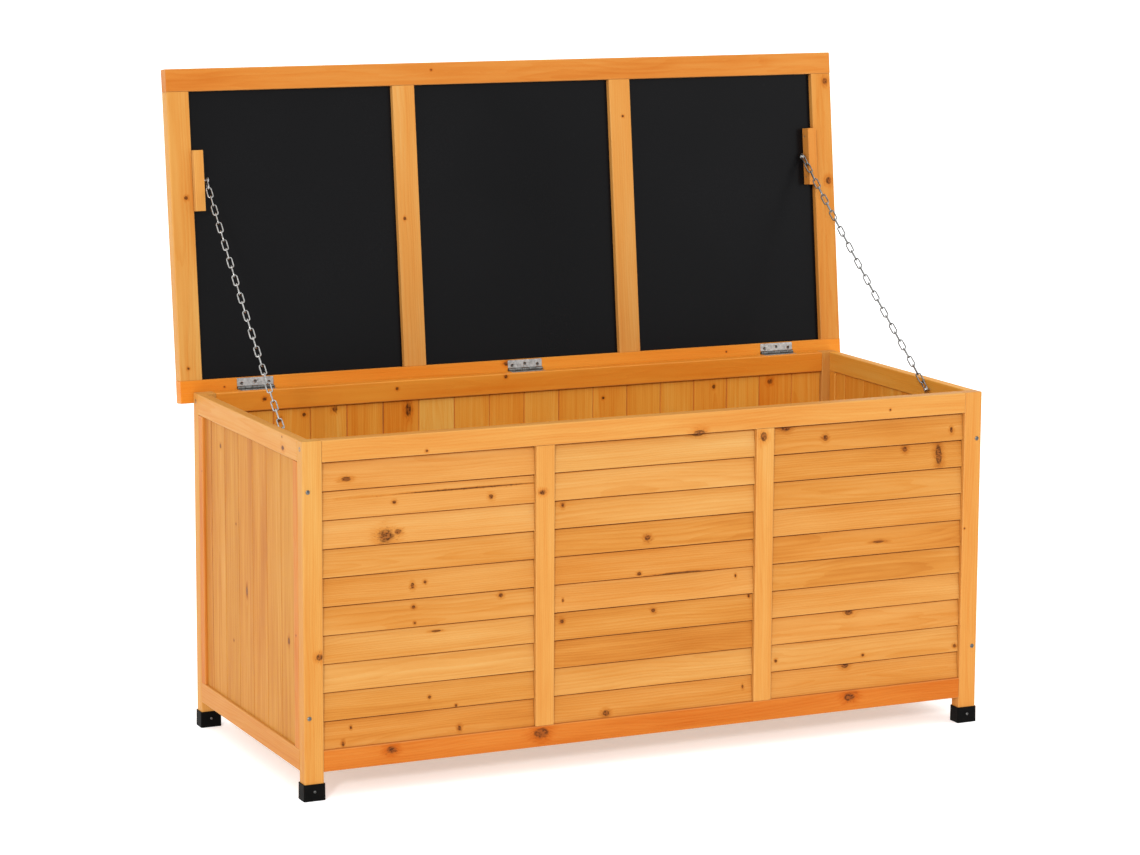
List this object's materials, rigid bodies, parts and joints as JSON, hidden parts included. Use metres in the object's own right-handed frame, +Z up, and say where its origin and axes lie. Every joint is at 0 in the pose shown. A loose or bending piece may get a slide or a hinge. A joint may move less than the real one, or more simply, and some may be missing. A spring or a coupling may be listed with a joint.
{
  "type": "deck storage box",
  "caption": "Timber deck storage box with slatted front, boarded sides and a hinged lid held open by chains.",
  "frame": {"origin": "on the ground, under the middle of the box's overall outline with the lid open", "axes": "+X along the front to the viewer's right, +Y from the front to the back, +Z up; the lid is open at rest"},
  "size_m": [1.24, 0.5984, 1.0889],
  "materials": {
    "frame_timber": "honey-stained fir, satin",
    "slat_timber": "honey-stained fir, satin",
    "board_timber": "honey-stained fir, satin",
    "floor_timber": "honey-stained fir, sawn",
    "black_panel": "smooth black sheet, semi-gloss",
    "black_cap_plastic": "moulded black plastic",
    "zinc_plated_steel": "bright zinc plating"
  },
  "bodies": {
    "box": {"back_boards": "board_timber", "back_bottom_rail": "frame_timber", "back_top_rail": "frame_timber", "chain_screws_box": "zinc_plated_steel", "chain_washers_box": "zinc_plated_steel", "floor_bearers": "floor_timber", "floor_boards": "floor_timber", "foot_cap_front_left": "black_cap_plastic", "foot_cap_front_right": "black_cap_plastic", "foot_cap_rear_left": "black_cap_plastic", "foot_cap_rear_right": "black_cap_plastic", "foot_cap_screws": "zinc_plated_steel", "front_bottom_rail": "frame_timber", "front_mullion_left": "frame_timber", "front_mullion_right": "frame_timber", "front_slats_left": "slat_timber", "front_slats_middle": "slat_timber", "front_slats_right": "slat_timber", "front_top_rail": "frame_timber", "hinge_leaves_box": "zinc_plated_steel", "hinge_pins": "zinc_plated_steel", "hinge_screws_box": "zinc_plated_steel", "leg_front_left": "frame_timber", "leg_front_right": "frame_timber", "leg_rear_left": "frame_timber", "leg_rear_right": "frame_timber", "rail_end_screws": "zinc_plated_steel", "side_boards_left": "board_timber", "side_boards_right": "board_timber", "side_bottom_rail_left": "frame_timber", "side_bottom_rail_right": "frame_timber", "side_panel_bolts": "zinc_plated_steel", "side_stiles_left": "frame_timber", "side_stiles_right": "frame_timber", "side_top_rail_left": "frame_timber", "side_top_rail_right": "frame_timber"},
    "lid": {"lid_front_rail": "frame_timber", "lid_rear_rail": "frame_timber", "lid_stile_left": "frame_timber", "lid_stile_right": "frame_timber", "lid_mullion_left": "frame_timber", "lid_mullion_right": "frame_timber", "lid_panel_left": "black_panel", "lid_panel_middle": "black_panel", "lid_panel_right": "black_panel", "chain_block_left": "frame_timber", "chain_block_right": "frame_timber", "chain_block_nails": "zinc_plated_steel", "hinge_leaves_lid": "zinc_plated_steel", "hinge_screws_lid": "zinc_plated_steel", "chain_screws_lid": "zinc_plated_steel", "chain_washers_lid": "zinc_plated_steel"},
    "chain_left_lower": {"chain_left_lower": "zinc_plated_steel"},
    "chain_left_upper": {"chain_left_upper": "zinc_plated_steel"},
    "chain_right_lower": {"chain_right_lower": "zinc_plated_steel"},
    "chain_right_upper": {"chain_right_upper": "zinc_plated_steel"}
  },
  "joints": [
    {"name": "lid_hinge", "type": "hinge", "parent": "box", "child": "lid", "pos_m": [0, 0.2157, 0.5635], "axis": [1, 0, 0], "range_deg": [0, 96.6]},
    {"name": "chain_left_lower_swing", "type": "hinge", "parent": "box", "child": "chain_left_lower", "pos_m": [-0.5767, -0.1567, 0.546], "axis": [1, 0, 0], "range_deg": [-131, 0]},
    {"name": "chain_left_upper_swing", "type": "hinge", "parent": "lid", "child": "chain_left_upper", "pos_m": [-0.5587, 0.25523, 0.90623], "axis": [1, 0, 0], "range_deg": [-49.5, 0]},
    {"name": "chain_right_lower_swing", "type": "hinge", "parent": "box", "child": "chain_right_lower", "pos_m": [0.5767, -0.1567, 0.546], "axis": [1, 0, 0], "range_deg": [-131, 0]},
    {"name": "chain_right_upper_swing", "type": "hinge", "parent": "lid", "child": "chain_right_upper", "pos_m": [0.5587, 0.25523, 0.90623], "axis": [1, 0, 0], "range_deg": [-49.5, 0]}
  ],
  "couplings": [
    {"joint": "chain_left_lower_swing", "follows": "lid_hinge", "ratio": -1.356},
    {"joint": "chain_left_upper_swing", "follows": "lid_hinge", "ratio": -0.5124},
    {"joint": "chain_right_lower_swing", "follows": "lid_hinge", "ratio": -1.356},
    {"joint": "chain_right_upper_swing", "follows": "lid_hinge", "ratio": -0.5124}
  ]
}
